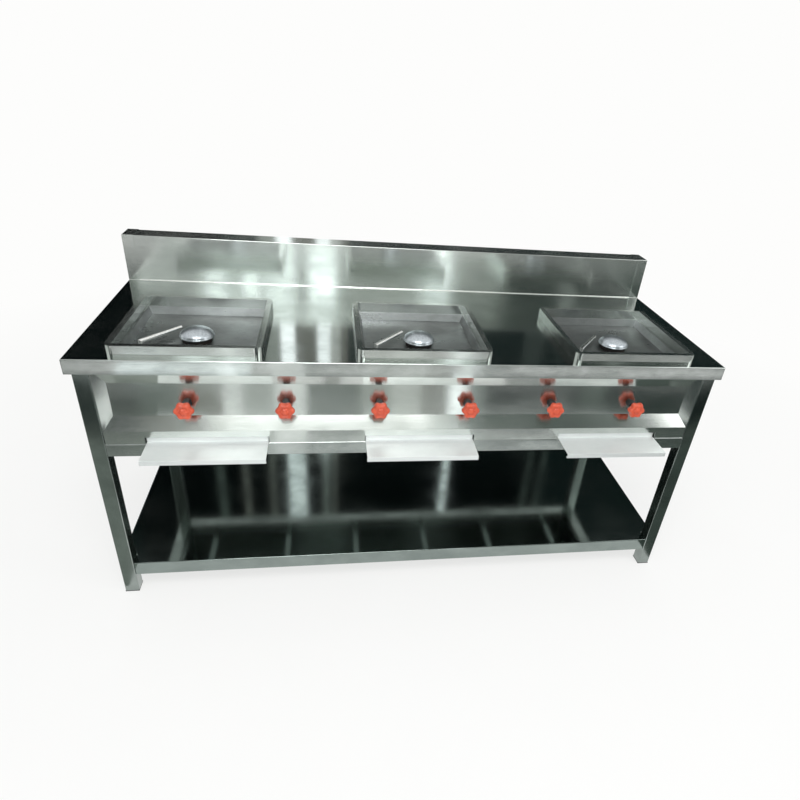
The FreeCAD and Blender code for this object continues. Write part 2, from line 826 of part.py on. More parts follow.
def all_nodes():
    nodes = {
        "tabletop": tabletop(),
        "splashback": splashback(),
        "splashback_ends": splashback_ends(),
        "foot_plugs": foot_plugs(),
        "top_rails": top_rails(),
        "lower_rails": lower_rails(),
        "undershelf": undershelf(),
        "shelf_stiffeners": shelf_stiffeners(),
        "control_panel": control_panel(),
        "left_end_panel": end_panel(-1),
        "right_end_panel": right_end_panel(),
        "back_panel": back_panel(),
        "burner_heads": group([burner_head(cx) for cx in WELLS.values()]),
        "pilot_burners": group([pilot_burner(cx) for cx in WELLS.values()]),
        "main_taps": group([tap(x) for x in MAIN_TAPS.values()]),
        "pilot_taps": group([tap(x) for x in PILOT_TAPS.values()]),
        "injectors": injectors(),
        "burner_straps": burner_straps(),
        "gas_manifold": gas_manifold(),
        "manifold_clips": manifold_clips(),
        "gas_pipes": gas_pipes(),
        "bezel_nuts": bezel_nuts(),
        "tray_runners": tray_runners(),
    }
    for end, side in SIDES.items():
        nodes["leg_front_" + end] = leg(side, (frame_front, leg_behind))
        nodes["leg_back_" + end] = leg(side, (leg_before, frame_back))
    for i, (name, cx) in enumerate(WELLS.items()):
        nodes["well_curb_" + name] = well_curb(cx)
        nodes["well_bowl_" + name] = well_bowl(cx)
        nodes["burner_cap_" + name] = burner_cap(cx)
        nodes["air_shutter_" + name] = air_shutter(cx)
        nodes["drip_tray_" + name] = drip_tray((i - 1) * tray_pitch)
        for use, places in (("pilot", PILOT_TAPS), ("main", MAIN_TAPS)):
            nodes[use + "_spindle_" + name] = tap_spindle(places[name])
            nodes[use + "_knob_" + name] = knob(places[name])
    return nodes


os.makedirs("parts", exist_ok=True)
for node_name, node_shape in all_nodes().items():
    node_shape.exportStep("parts/" + node_name + ".step")
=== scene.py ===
import json
import math

import bmesh
import bpy
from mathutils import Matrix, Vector


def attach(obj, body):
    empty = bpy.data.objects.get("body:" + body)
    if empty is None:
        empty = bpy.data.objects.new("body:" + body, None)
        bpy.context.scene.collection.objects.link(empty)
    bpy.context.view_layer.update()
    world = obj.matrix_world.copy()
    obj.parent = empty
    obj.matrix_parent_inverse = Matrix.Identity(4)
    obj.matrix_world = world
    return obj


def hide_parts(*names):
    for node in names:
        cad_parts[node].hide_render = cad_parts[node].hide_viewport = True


# A three-well gas wok range in stainless steel. Metres, in the model's own frame:
# X along the front, Y back from the cook, Z up from the floor.
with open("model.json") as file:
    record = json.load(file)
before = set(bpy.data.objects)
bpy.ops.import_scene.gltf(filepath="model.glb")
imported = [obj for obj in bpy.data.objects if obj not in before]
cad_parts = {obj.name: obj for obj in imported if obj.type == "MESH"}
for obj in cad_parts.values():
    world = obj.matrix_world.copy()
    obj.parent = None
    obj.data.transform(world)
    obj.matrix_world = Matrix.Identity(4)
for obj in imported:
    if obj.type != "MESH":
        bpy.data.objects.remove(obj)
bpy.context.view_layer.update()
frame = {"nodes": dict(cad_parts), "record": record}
NODES = frame["nodes"]
SIDES = ("left", "middle", "right")
MM = 0.001
Y, Z = Vector((0, 1, 0)), Vector((0, 0, 1))
SLOT_OF = {row["node"]: row["material_slot"] for row in frame["record"]["subparts"]}
BODY_OF = {
    node: body for body, nodes in frame["record"]["behaviour"]["bodies"].items() for node in nodes
}


# ---- colours and shader nodes ----
def colour(hex_code):
    """An sRGB hex value as a linear colour."""
    parts = [int(hex_code[i:i + 2], 16) / 255 for i in (0, 2, 4)]
    return [c / 12.92 if c <= 0.04045 else ((c + 0.055) / 1.055) ** 2.4 for c in parts] + [1.0]


def add(tree, kind, settings=None, inputs=None):
    """Adds a node with its settings. An input is a value, or a socket that it is linked from."""
    made = tree.nodes.new(kind)
    for name, value in (settings or {}).items():
        setattr(made, name, value)
    for key, value in (inputs or {}).items():
        if isinstance(value, bpy.types.NodeSocket):
            tree.links.new(value, made.inputs[key])
        else:
            made.inputs[key].default_value = value
    return made


def new_material(name):
    made = bpy.data.materials.new(name)
    made.use_nodes = True
    made.node_tree.nodes.clear()
    return made, made.node_tree


def object_pattern(tree, sizes, detail=3.0, roughness=0.5):
    """Noise on object coordinates whose blobs have the given sizes in metres along X, Y and Z."""
    where = add(tree, "ShaderNodeTexCoord")
    scaled = add(tree, "ShaderNodeMapping", None, {
        "Vector": where.outputs["Object"],
        "Scale": [1 / s for s in sizes],
    })
    noise = add(tree, "ShaderNodeTexNoise", None, {
        "Vector": scaled.outputs["Vector"],
        "Scale": 1.0,
        "Detail": detail,
        "Roughness": roughness,
    })
    return noise.outputs["Fac"]


def remap(tree, value, low, high, start=0.3, end=0.7):
    return add(tree, "ShaderNodeMapRange", None, {
        "Value": value, "From Min": start, "From Max": end, "To Min": low, "To Max": high,
    }).outputs["Result"]


def blend_colours(tree, factor, first, second):
    mix = add(tree, "ShaderNodeMix", {"data_type": "RGBA"}, {0: factor, 6: first, 7: second})
    return mix.outputs[2]


def finish_surface(tree, inputs, normal=None):
    shader = add(tree, "ShaderNodeBsdfPrincipled", None, inputs)
    if normal is not None:
        tree.links.new(normal, shader.inputs["Normal"])
    add(tree, "ShaderNodeOutputMaterial", None, {"Surface": shader.outputs["BSDF"]})


# Brush lines lean a little off their axis, so that they keep a direction on a face square to it.
GRAIN = {"X": (1, 0, 0.02), "Z": (0.02, 0, 1)}
# Real brush lines are about 0.3 mm apart. They are drawn wider, so that they show.
BRUSH_LINE = 2 * MM
BRUSH_STROKE = 220 * MM


def brushed_steel(name, bright, dull, sheen, grain, directional=0.6, metal=1.0):
    """Stainless sheet, brushed along one axis: fine lines, soft smears where hands wiped it.

    bright and dull are the two tones of the metal, sheen is its (lowest, highest) roughness, metal
    is its share of metal. Below 1, a pale tone shows as a plain light colour: a painted highlight
    on the trays.
    """
    made, tree = new_material(name)
    sizes = [BRUSH_STROKE if axis == grain else BRUSH_LINE for axis in "XYZ"]
    lines = object_pattern(tree, sizes, detail=2.0)
    smears = object_pattern(tree, [160 * MM, 120 * MM, 90 * MM], detail=5.0, roughness=0.6)
    spots = object_pattern(tree, [14 * MM] * 3, detail=2.0)
    tone = blend_colours(tree, remap(tree, smears, 0.0, 1.0), colour(bright), colour(dull))
    wear = add(tree, "ShaderNodeMath", {"operation": "MULTIPLY_ADD"}, {
        0: spots, 1: 0.25, 2: remap(tree, smears, 0.0, 0.75),
    })
    lined = add(tree, "ShaderNodeMath", {"operation": "MULTIPLY_ADD"}, {
        0: lines, 1: 0.35, 2: wear.outputs[0],
    })
    gloss = remap(tree, lined.outputs[0], sheen[0], sheen[1], 0.15, 1.1)
    across = add(tree, "ShaderNodeVectorMath", {"operation": "CROSS_PRODUCT"}, {
        0: add(tree, "ShaderNodeNewGeometry").outputs["Normal"], 1: GRAIN[grain],
    })
    bump = add(tree, "ShaderNodeBump", None, {
        "Strength": 0.12, "Distance": 0.2 * MM, "Height": lines,
    })
    finish_surface(tree, {
        "Base Color": tone, "Metallic": metal, "Roughness": gloss, "Anisotropic": directional,
        "Tangent": across.outputs["Vector"],
    }, bump.outputs["Normal"])
    return made


def turned_metal(name, bright, dull, sheen):
    """Machined or drawn metal: even, with faint tool marks."""
    made, tree = new_material(name)
    marks = object_pattern(tree, [6 * MM] * 3, detail=4.0)
    tone = blend_colours(tree, remap(tree, marks, 0.0, 1.0), colour(bright), colour(dull))
    bump = add(tree, "ShaderNodeBump", None, {
        "Strength": 0.1, "Distance": 0.1 * MM, "Height": marks,
    })
    finish_surface(tree, {
        "Base Color": tone, "Metallic": 1.0, "Roughness": remap(tree, marks, *sheen),
    }, bump.outputs["Normal"])
    return made


def cast_iron(name):
    """Sand-cast grey iron, blackened by heat: a coarse skin with rust-brown patches."""
    made, tree = new_material(name)
    skin = object_pattern(tree, [1.5 * MM] * 3, detail=5.0, roughness=0.7)
    patches = object_pattern(tree, [22 * MM] * 3, detail=4.0)
    tone = blend_colours(tree, remap(tree, patches, 0.0, 0.8), colour("1B1C1D"), colour("3A302A"))
    bump = add(tree, "ShaderNodeBump", None, {
        "Strength": 0.6, "Distance": 0.5 * MM, "Height": skin,
    })
    finish_surface(tree, {
        "Base Color": tone, "Metallic": 0.4, "Roughness": remap(tree, skin, 0.55, 0.8),
    }, bump.outputs["Normal"])
    return made


def moulded_plastic(name, main, shade, sheen, grit):
    """Injection-moulded plastic with a faint orange-peel skin, whose grains are grit across."""
    made, tree = new_material(name)
    peel = object_pattern(tree, [grit] * 3, detail=2.0)
    dust = object_pattern(tree, [12 * MM] * 3, detail=4.0)
    tone = blend_colours(tree, remap(tree, dust, 0.0, 1.0), colour(main), colour(shade))
    bump = add(tree, "ShaderNodeBump", None, {
        "Strength": 0.15, "Distance": 0.1 * MM, "Height": peel,
    })
    finish_surface(tree, {
        "Base Color": tone, "Roughness": remap(tree, dust, *sheen), "IOR": 1.5,
    }, bump.outputs["Normal"])
    return made


# ---- the finishes ----
# Worktop: brushed, then wiped smooth with oil, so it mirrors the room and looks dark.
worktop_steel = brushed_steel(
    "wiped_worktop_steel", "CDD2CF", "B5BBB7", (0.06, 0.13), "X", directional=0.85)
# Splashback, control panel and rings: bright brushed sheet straight from the mill.
bright_sheet = brushed_steel(
    "bright_brushed_sheet", "DDE1DD", "C4C9C5", (0.11, 0.21), "X", directional=0.9)
# Well bowls: the same sheet, dulled by the flames.
well_sheet = brushed_steel(
    "heat_dulled_well_sheet", "A6AAAA", "7B7E7D", (0.22, 0.40), "X", directional=0.4)
# Undershelf: polished nearly to a mirror. Its tone is darker than the other sheet: painted shade,
# standing in for the dark that it mirrors.
shelf_painted_darker = brushed_steel(
    "mirror_shelf_dark_painted", "98A29E", "838D89", (0.05, 0.12), "X", directional=0.7)
# Legs and rails: polished square tube, brushed along its length.
upright_tube = brushed_steel(
    "polished_leg_tube", "A3ABA7", "858D89", (0.12, 0.26), "Z", directional=0.7)
long_tube = brushed_steel(
    "polished_rail_tube", "C8CDCA", "ABB1AE", (0.12, 0.26), "X", directional=0.8)
# Drip trays: a near-white tone at half metal, a painted highlight for the bright light that falls
# on them.
tray_painted_pale = brushed_steel(
    "pale_painted_tray_metal", "F2F5F4", "E4E8E7", (0.36, 0.50), "X", directional=0.3, metal=0.5)
# Back and end panels: plain unpolished sheet.
box_sheet = brushed_steel(
    "dull_burner_box_sheet", "9DA2A0", "7F8583", (0.30, 0.42), "X", directional=0.3)
cap_metal = turned_metal("spun_cap_steel", "C6CDD1", "A5ADB2", (0.27, 0.42))
bright_tube = turned_metal("bright_drawn_tube", "F2F4F1", "DADDD8", (0.16, 0.28))
chrome_plate = turned_metal("plated_spindle", "D8DADA", "C6C9C9", (0.06, 0.14))
turned_brass = turned_metal("machined_brass", "C9A24E", "A8843C", (0.22, 0.38))
drawn_pipe = turned_metal("annealed_pipe", "C3C5C5", "A6A9A9", (0.30, 0.45))
sand_casting = cast_iron("sand_cast_iron")
# Knobs: orange-red gloss plastic, a little browner where dust sits.
knob_plastic = moulded_plastic("red_moulded_plastic", "DE6145", "C24C35", (0.16, 0.30), 0.8 * MM)
black_plastic = moulded_plastic("black_moulded_plastic", "1E2021", "2A2C2D", (0.4, 0.55), 1 * MM)

SLOT_FINISH = {
    "table_steel": worktop_steel, "polished_steel": bright_sheet, "shelf_steel": shelf_painted_darker,
    "tube_steel": long_tube, "cap_steel": cap_metal, "pilot_steel": bright_tube,
    "spindle_steel": chrome_plate, "cast_iron": sand_casting, "brass": turned_brass,
    "pipe_metal": drawn_pipe, "rail_paint": drawn_pipe, "red_plastic": knob_plastic,
    "black_plastic": black_plastic,
}
LEGS = ["leg_%s_%s" % (end, side) for end in ("front", "back") for side in ("left", "right")]
# Where a node looks other than its slot's finish.
NODE_FINISH = {leg: upright_tube for leg in LEGS}
NODE_FINISH.update({"well_bowl_" + side: well_sheet for side in SIDES})
NODE_FINISH.update({"drip_tray_" + side: tray_painted_pale for side in SIDES})
NODE_FINISH.update({place + "_panel": box_sheet for place in ("back", "left_end", "right_end")})
NODE_FINISH["bezel_nuts"] = black_plastic


def finish_of(node):
    return NODE_FINISH.get(node, SLOT_FINISH[SLOT_OF[node]])


for node, shown in NODES.items():
    for holder in shown.material_slots:
        holder.material = finish_of(node)


# ---- shapes ----
def place_mesh(name, shape, finish, node, replaces=False):
    """A finished piece from a bmesh, riding on the node's body. It can stand in for the node."""
    mesh = bpy.data.meshes.new(name)
    shape.normal_update()
    shape.to_mesh(mesh)
    shape.free()
    mesh.materials.append(finish)
    piece = bpy.data.objects.new(name, mesh)
    bpy.context.scene.collection.objects.link(piece)
    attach(piece, BODY_OF[node])
    if replaces:
        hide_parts(node)
    return piece


def keep_flats_flat(piece):
    """Large faces set the shading, so that only the narrow rounded edges bend a reflection."""
    even = piece.modifiers.new("even_normals", "WEIGHTED_NORMAL")
    even.keep_sharp = True


FOLD_ANGLE = math.radians(30)  # A sharper turn between two wide faces is a fold.
FLAT_TURN = math.radians(12)  # The most that shading smooths over between two flat faces.
ROUND_TURN = math.radians(40)  # The same next to a rounded fold.


def fold_softened(node, radius, steps=3):
    """A copy of a folded or drawn piece with its main edges rounded."""
    shape = bmesh.new()
    shape.from_mesh(NODES[node].data)
    bmesh.ops.remove_doubles(shape, verts=shape.verts, dist=0.002 * MM)
    bmesh.ops.dissolve_limit(
        shape, angle_limit=math.radians(0.5), verts=shape.verts, edges=shape.edges
    )

    def wide(face):
        return face.calc_area() > 2.2 * radius * max(e.calc_length() for e in face.edges)

    folds = [
        e for e in shape.edges
        if len(e.link_faces) == 2 and e.is_convex
        and e.calc_face_angle() > FOLD_ANGLE and all(wide(f) for f in e.link_faces)
    ]
    rounded = set(bmesh.ops.bevel(
        shape, geom=folds, offset=radius, offset_type="OFFSET", segments=steps, profile=0.5,
        affect="EDGES", clamp_overlap=True,
    )["faces"])
    for face in shape.faces:
        face.smooth = True
    for edge in shape.edges:
        plain = not any(face in rounded for face in edge.link_faces)
        edge.smooth = edge.calc_face_angle(math.pi) < (FLAT_TURN if plain else ROUND_TURN)
    piece = place_mesh(node + "_folded", shape, finish_of(node), node, replaces=True)
    keep_flats_flat(piece)


FOLD_RADII = {
    "tabletop": 2.5, "splashback": 2.0, "splashback_ends": 2.0, "control_panel": 1.5,
    "undershelf": 2.0, "lower_rails": 3.0, "top_rails": 2.5,
}
FOLD_RADII.update({leg: 3.0 for leg in LEGS})
for side in SIDES:
    FOLD_RADII["well_curb_" + side] = 2.0
    FOLD_RADII["well_bowl_" + side] = 1.0
    FOLD_RADII["drip_tray_" + side] = 1.0
for node, radius in FOLD_RADII.items():
    fold_softened(node, radius * MM)


def lathe(shape, outline, centre, turns, across=lambda angle: 1.0, axis=Z):
    """Adds a turned surface from (radius, height) points to a bmesh, about an axis through centre.

    across(angle) scales the radius round the turn. A point on the axis closes the surface.
    """
    turn = axis.rotation_difference(Z).to_matrix().inverted()
    rows = []
    for radius, height in outline:
        if radius < 1e-7:
            rows.append([shape.verts.new(Vector(centre) + turn @ Vector((0, 0, height)))])
            continue
        row = []
        for i in range(turns):
            angle = math.tau * i / turns
            reach = radius * across(angle)
            spot = Vector((reach * math.cos(angle), reach * math.sin(angle), height))
            row.append(shape.verts.new(Vector(centre) + turn @ spot))
        rows.append(row)
    for low, high in zip(rows, rows[1:]):
        for i in range(turns):
            j = (i + 1) % turns
            ring = [low[i % len(low)], low[j % len(low)], high[j % len(high)], high[i % len(high)]]
            shape.faces.new(list(dict.fromkeys(ring))).smooth = True


def box_of(node):
    """A node's own (low, high) corners."""
    spots = [v.co for v in NODES[node].data.vertices]
    return [Vector(pick(c[i] for c in spots) for i in range(3)) for pick in (min, max)]


def spun_cap(side):
    """The burner's cap: a spun dome with a rolled rim and a flat underside."""
    node = "burner_cap_" + side
    low, high = box_of(node)
    rim = (high.x - low.x) / 2
    centre = ((low.x + high.x) / 2, (low.y + high.y) / 2, 0)
    seat = low.z + (high.z - low.z) * 0.22
    underside = [
        (0.0, seat), (rim * 0.80, seat), (rim * 0.84, low.z + 0.3 * MM), (rim - 1.6 * MM, low.z),
    ]
    rolled = [
        (rim - 0.4 * MM, low.z + 0.7 * MM), (rim, low.z + 2.2 * MM),
        (rim - 0.5 * MM, low.z + 3.8 * MM),
    ]
    foot = low.z + 4.2 * MM
    steps = 18
    angles = [math.pi / 2 * i / steps for i in range(steps)]
    dome = [
        ((rim - 1.2 * MM) * math.cos(a), foot + (high.z - foot) * math.sin(a) ** 1.15)
        for a in angles
    ]
    shape = bmesh.new()
    lathe(shape, underside + rolled + dome + [(0.0, high.z)], centre, 96)
    place_mesh("spun_cap_" + side, shape, cap_metal, node, replaces=True)


KNOB_LOBES = 6
LOBE_DEPTH = 0.085  # A share of the radius.
SPINDLE_HOLE = 4.3 * MM
HUB_RADIUS = 9.5 * MM
HUB_LENGTH = 7.5 * MM


def lobed_knob(node):
    """A hand knob with six soft lobes, a shallow dish in front and a dark hub behind."""
    low, high = box_of(node)
    reach = (high.x - low.x) / 2
    deep = high.y - low.y
    centre = ((low.x + high.x) / 2, high.y, (low.z + high.z) / 2)

    def lobes(angle):
        return 1 - LOBE_DEPTH + LOBE_DEPTH * math.cos(KNOB_LOBES * angle)

    # Shares of the knob's reach and depth, from its back round to the middle of its front.
    outline = [
        (0.40, 0.0), (0.74, 0.03), (0.88, 0.10), (0.97, 0.24), (1.0, 0.42), (1.0, 0.60),
        (0.97, 0.74), (0.90, 0.85), (0.80, 0.92), (0.70, 0.94), (0.60, 0.90), (0.50, 0.84),
        (0.42, 0.83), (0.37, 0.90), (0.33, 0.97), (0.26, 1.0), (0.0, 1.0),
    ]
    socket = [(SPINDLE_HOLE, 0.6 * deep), (SPINDLE_HOLE, 0.0)]
    knob = bmesh.new()
    lathe(knob, socket + [(r * reach, h * deep) for r, h in outline], centre, 96, lobes, -Y)
    place_mesh("lobed_" + node, knob, knob_plastic, node, replaces=True)

    sunk = 0.2 * MM  # Into the back of the knob.
    chamfer = 1 * MM
    hub = bmesh.new()
    lathe(hub, [
        (SPINDLE_HOLE, sunk), (HUB_RADIUS, sunk), (HUB_RADIUS, chamfer * 1.5 - HUB_LENGTH),
        (HUB_RADIUS - chamfer, -HUB_LENGTH), (SPINDLE_HOLE, -HUB_LENGTH), (SPINDLE_HOLE, sunk),
    ], centre, 48, axis=-Y)
    place_mesh("hub_" + node, hub, black_plastic, node)


for side in SIDES:
    spun_cap(side)
    for use in ("pilot", "main"):
        lobed_knob(use + "_knob_" + side)


def extruded(shape, outline, far):
    """Adds a closed solid to a bmesh: an outline's points, and the same points moved by far."""
    near = [shape.verts.new(spot) for spot in outline]
    away = [shape.verts.new(Vector(spot) + Vector(far)) for spot in outline]
    ends = [shape.faces.new(near), shape.faces.new(away[::-1])]
    sides = [
        shape.faces.new([near[i], near[i - 1], away[i - 1], away[i]]) for i in range(len(outline))
    ]
    bmesh.ops.recalc_face_normals(shape, faces=ends + sides)
    return sides


def panel_skirt():
    """The control panel's lower edge, turned down to the trays, and to the rail beside them."""
    low, high = box_of("control_panel")
    side_gap, over_tray, over_rail = 2.5 * MM, 1.7 * MM, 0.4 * MM
    rail = box_of("lower_rails")[1].z + over_rail
    left, right = low.x + 1 * MM, high.x - 1 * MM
    outline = [(left, low.z), (left, rail)]
    for near, far in (box_of("drip_tray_" + side) for side in SIDES):
        tray = far.z + over_tray
        first, last = near.x - side_gap, far.x + side_gap
        outline += [(first, rail), (first, tray), (last, tray), (last, rail)]
    outline += [(right, rail), (right, low.z)]
    skirt = bmesh.new()
    extruded(skirt, [(x, low.y, z) for x, z in outline], (0, 1 * MM, 0))
    place_mesh("panel_skirt", skirt, bright_sheet, "control_panel")


def splash_seam():
    """A ground and polished weld fillet along the foot of the splashback."""
    low, high = box_of("splashback")
    reach = 3 * MM
    steps = 6
    angles = [math.pi / 2 * i / steps for i in range(steps + 1)]
    section = [(0.0, 0.0)]
    section += [(reach * (1 - math.sin(a)), reach * (1 - math.cos(a))) for a in angles]
    seam = bmesh.new()
    sides = extruded(
        seam, [(low.x, low.y - out, low.z + up) for out, up in section], (high.x - low.x, 0, 0)
    )
    for hollow in sides[2:]:
        hollow.smooth = True
    piece = place_mesh("splash_seam", seam, bright_tube, "splashback")
    piece.data.set_sharp_from_angle(angle=math.radians(50))


panel_skirt()
splash_seam()


# ---- rivet heads, by geometry nodes ----
RIVET_INPUTS = (
    ("Count", "NodeSocketInt", 8), ("Start", "NodeSocketVector", (0, 0, 0)),
    ("Step", "NodeSocketVector", (0.1, 0, 0)), ("Facing", "NodeSocketVector", (0, 0, 0)),
    ("Head Radius", "NodeSocketFloat", 4 * MM), ("Head Height", "NodeSocketFloat", 0.3),
    ("Wander", "NodeSocketFloat", 0.4 * MM), ("Seed", "NodeSocketInt", 7),
    ("Finish", "NodeSocketMaterial", None),
)


def rivet_group():
    """Round rivet heads in a straight row, each a little off its mark."""
    tree = bpy.data.node_groups.new("rivet_row", "GeometryNodeTree")
    for name, kind, value in RIVET_INPUTS:
        socket = tree.interface.new_socket(name=name, in_out="INPUT", socket_type=kind)
        if value is not None:
            socket.default_value = value
    tree.interface.new_socket(name="Geometry", in_out="OUTPUT", socket_type="NodeSocketGeometry")
    given = add(tree, "NodeGroupInput").outputs
    row = add(tree, "GeometryNodeMeshLine", {"mode": "OFFSET"}, {
        "Count": given["Count"], "Start Location": given["Start"], "Offset": given["Step"],
    })
    stray = add(tree, "FunctionNodeRandomValue", {"data_type": "FLOAT_VECTOR"}, {
        0: (-1, -1, -1), 1: (1, 1, 1), 8: given["Seed"],
    })
    shift = add(tree, "ShaderNodeVectorMath", {"operation": "SCALE"}, {
        0: stray.outputs[0], 3: given["Wander"],
    })
    inward = add(tree, "ShaderNodeVectorMath", {"operation": "MULTIPLY"}, {
        0: shift.outputs[0], 1: (1, 1, 0),
    })
    outward = add(tree, "ShaderNodeVectorRotate", {"rotation_type": "EULER_XYZ"}, {
        0: inward.outputs[0], "Rotation": given["Facing"],
    })
    spread = add(tree, "GeometryNodeSetPosition", None, {
        "Geometry": row.outputs["Mesh"], "Offset": outward.outputs[0],
    })
    ball = add(tree, "GeometryNodeMeshUVSphere", None, {
        "Segments": 24, "Rings": 12, "Radius": given["Head Radius"],
    })
    press = add(tree, "ShaderNodeCombineXYZ", None, {"X": 1.0, "Y": 1.0, "Z": given["Head Height"]})
    head = add(tree, "GeometryNodeTransform", None, {
        "Geometry": ball.outputs["Mesh"], "Scale": press.outputs[0],
    })
    smooth = add(tree, "GeometryNodeSetShadeSmooth", None, {"Geometry": head.outputs["Geometry"]})
    heads = add(tree, "GeometryNodeInstanceOnPoints", None, {
        "Points": spread.outputs["Geometry"], "Instance": smooth.outputs["Geometry"],
        "Rotation": given["Facing"],
    })
    real = add(tree, "GeometryNodeRealizeInstances", None, {"Geometry": heads.outputs["Instances"]})
    coated = add(tree, "GeometryNodeSetMaterial", None, {
        "Geometry": real.outputs["Geometry"], "Material": given["Finish"],
    })
    add(tree, "NodeGroupOutput", None, {"Geometry": coated.outputs["Geometry"]})
    return tree


rivets = rivet_group()


def rivet_rows(name, node, rows):
    """Rows of rivets as one piece on a node's body. rows lists (count, start, step, facing)."""
    joined = bmesh.new()
    for count, start, step, facing in rows:
        seat = bpy.data.objects.new("seat", bpy.data.meshes.new("seat"))
        bpy.context.scene.collection.objects.link(seat)
        nodes = seat.modifiers.new("rivets", "NODES")
        nodes.node_group = rivets
        values = {
            "Count": count, "Start": start, "Step": step, "Facing": facing, "Finish": chrome_plate,
        }
        for socket in rivets.interface.items_tree:
            if socket.in_out == "INPUT" and socket.name in values:
                nodes[socket.identifier] = values[socket.name]
        ready = seat.evaluated_get(bpy.context.evaluated_depsgraph_get())
        made = bpy.data.meshes.new_from_object(ready)
        joined.from_mesh(made)
        bpy.data.objects.remove(seat)
        bpy.data.meshes.remove(made)
    place_mesh(name, joined, chrome_plate, node)


RIVET_INSET = 14 * MM  # From a panel's long edges to its rows of rivets.


def back_rivets():
    low, high = box_of("back_panel")
    count = 9
    first, last = low.x + 40 * MM, high.x - 40 * MM
    step = ((last - first) / (count - 1), 0, 0)
    rivet_rows("back_panel_rivets", "back_panel", [
        (count, (first, high.y, z), step, (math.radians(-90), 0, 0))
        for z in (low.z + RIVET_INSET, high.z - RIVET_INSET)
    ])


def end_rivets(side, turn):
    low, high = box_of(side + "_end_panel")
    face = low.x if side == "left" else high.x
    count = 5
    first, last = low.y + 30 * MM, high.y - 30 * MM
    step = (0, (last - first) / (count - 1), 0)
    rivet_rows(side + "_panel_rivets", side + "_end_panel", [
        (count, (face, first, z), step, (0, math.radians(turn), 0))
        for z in (low.z + RIVET_INSET, high.z - RIVET_INSET)
    ])


back_rivets()
end_rivets("left", -90)
end_rivets("right", 90)


# ---- studio: pale floor, pale world, mirrored cards, soft lamps ----
CAMERA_PLACE = (-0.26, -1.718, 1.492)
BACKDROP = "FDFDFC"
FLOOR_REACH = 30.0
FADE = (1.2, 3.0)  # How far from the range the floor starts and ends its fade into the backdrop.


def flat_piece(name, corners, finish):
    """A flat four-cornered piece of the stage, anticlockwise as seen from its front."""
    shape = bmesh.new()
    shape.faces.new([shape.verts.new(corner) for corner in corners])
    mesh = bpy.data.meshes.new(name)
    shape.to_mesh(mesh)
    shape.free()
    piece = bpy.data.objects.new(name, mesh)
    piece.data.materials.append(finish)
    bpy.context.scene.collection.objects.link(piece)
    return piece


def seen_rays(tree):
    """1 for camera, glossy and transmission rays, which all see the same pale background."""
    ray = add(tree, "ShaderNodeLightPath")
    seen = add(tree, "ShaderNodeMath", {"operation": "MAXIMUM"}, {
        0: ray.outputs["Is Camera Ray"], 1: ray.outputs["Is Glossy Ray"],
    })
    seen = add(tree, "ShaderNodeMath", {"operation": "MAXIMUM"}, {
        0: seen.outputs[0], 1: ray.outputs["Is Transmission Ray"],
    })
    return seen.outputs[0]


def pale_floor():
    """Nearly white paper that takes the range's soft shadow and fades into the backdrop."""
    made, tree = new_material("white_paper_floor")
    grain = object_pattern(tree, [300 * MM] * 3)
    tone = blend_colours(tree, grain, colour("F6F6F5"), colour("F1F1F0"))
    paper = add(tree, "ShaderNodeBsdfDiffuse", None, {"Color": tone})
    glow = add(tree, "ShaderNodeEmission", None, {"Color": colour(BACKDROP), "Strength": 1.0})
    place = add(tree, "ShaderNodeTexCoord")
    away = add(tree, "ShaderNodeVectorMath", {"operation": "LENGTH"}, {0: place.outputs["Object"]})
    fade = remap(tree, away.outputs["Value"], 0.72, 1.0, *FADE)
    share = add(tree, "ShaderNodeMath", {"operation": "MULTIPLY"}, {0: seen_rays(tree), 1: fade})
    mix = add(tree, "ShaderNodeMixShader", None, {
        0: share.outputs[0], 1: paper.outputs[0], 2: glow.outputs[0],
    })
    add(tree, "ShaderNodeOutputMaterial", None, {"Surface": mix.outputs[0]})
    r = FLOOR_REACH
    flat_piece("studio_floor", [(-r, -r, 0), (r, -r, 0), (r, r, 0), (-r, r, 0)], made)


def pale_world():
    """White to the camera and in reflections, a softer fill for everything else."""
    world = bpy.data.worlds.new("studio")
    bpy.context.scene.world = world
    world.use_nodes = True
    tree = world.node_tree
    tree.nodes.clear()
    fill = add(tree, "ShaderNodeBackground", None, {"Color": colour("EEF0F0"), "Strength": 0.85})
    backdrop = add(tree, "ShaderNodeBackground", None, {"Color": colour(BACKDROP), "Strength": 1.0})
    mix = add(tree, "ShaderNodeMixShader", None, {
        0: seen_rays(tree), 1: fill.outputs[0], 2: backdrop.outputs[0],
    })
    add(tree, "ShaderNodeOutputWorld", None, {"Surface": mix.outputs[0]})


def card_finish(tone, code, strength):
    """Glows towards the range only. From behind, the card isn't there."""
    made, tree = new_material("mirror_card_" + tone)
    glow = add(tree, "ShaderNodeEmission", None, {"Color": colour(code), "Strength": strength})
    clear = add(tree, "ShaderNodeBsdfTransparent")
    behind = add(tree, "ShaderNodeNewGeometry").outputs["Backfacing"]
    mix = add(tree, "ShaderNodeMixShader", None, {
        0: behind, 1: glow.outputs[0], 2: clear.outputs[0],
    })
    add(tree, "ShaderNodeOutputMaterial", None, {"Surface": mix.outputs[0]})
    return made


def mirror_card(name, corners, tone):
    """A dark flag or a light strip that only shows in polished metal."""
    card = flat_piece(name, corners, CARDS[tone])
    card.visible_camera = False
    card.visible_diffuse = False
    card.visible_transmission = False
    card.visible_volume_scatter = False
    card.visible_shadow = False


def card_wall(name, y, z, strips):
    """An upright row of cards. strips lists (left, right, tone) along X."""
    for number, (left, right, tone) in enumerate(strips):
        corners = [(left, y, z[0]), (right, y, z[0]), (right, y, z[1]), (left, y, z[1])]
        if y < 0:
            corners.reverse()
        mirror_card("%s_%d" % (name, number), corners, tone)


def card_floor(name, y, z, strips):
    """A row of cards that lie just above the floor."""
    for number, (left, right, tone) in enumerate(strips):
        corners = [(left, y[0], z), (right, y[0], z), (right, y[1], z), (left, y[1], z)]
        mirror_card("%s_%d" % (name, number), corners, tone)


